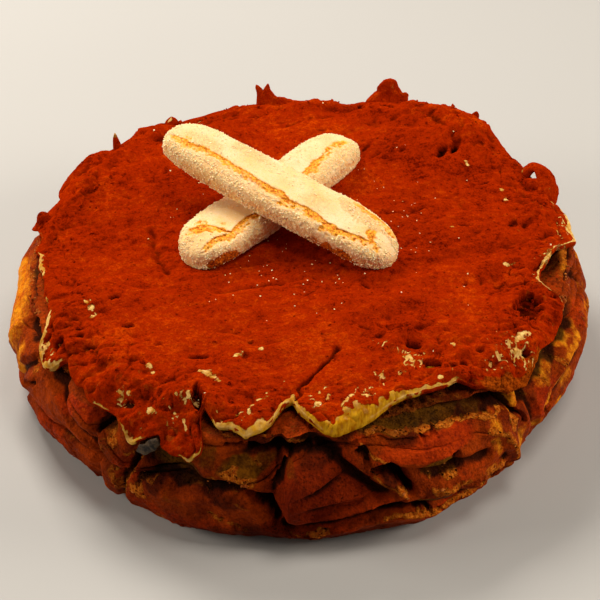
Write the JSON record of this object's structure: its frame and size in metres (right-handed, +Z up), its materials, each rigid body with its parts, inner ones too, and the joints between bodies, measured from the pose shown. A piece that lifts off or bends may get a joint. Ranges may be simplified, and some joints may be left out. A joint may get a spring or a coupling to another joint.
{
  "type": "tiramisu cake",
  "caption": "Round tiramisu cake with a ragged cocoa-dusted cream top over layered, folded sides, and crossed ladyfinger biscuits lying on it.",
  "frame": {"origin": "centre of the flat underside, on the table", "axes": "+Z up, the cake's front, with the long cream lobes and the deep notch, faces -Y, +X to the right"},
  "size_m": [0.2309, 0.2346, 0.0847],
  "materials": {
    "soaked_sponge": "damp, folded, dusted with cocoa",
    "filling_cream": "smooth, moist, stained with coffee",
    "crumb": "torn, open crumb",
    "cocoa_cream": "powdery cocoa over pale cream that shows at the lip",
    "biscuit": "dry, sugared, with a long crack"
  },
  "bodies": {
    "root": {"sponge_base": "soaked_sponge", "sponge_middle": "soaked_sponge", "cream_filling": "filling_cream", "sponge_upper": "crumb", "cream_top": "cocoa_cream", "ladyfinger_lower": "biscuit", "ladyfinger_upper": "biscuit"}
  },
  "joints": []
}
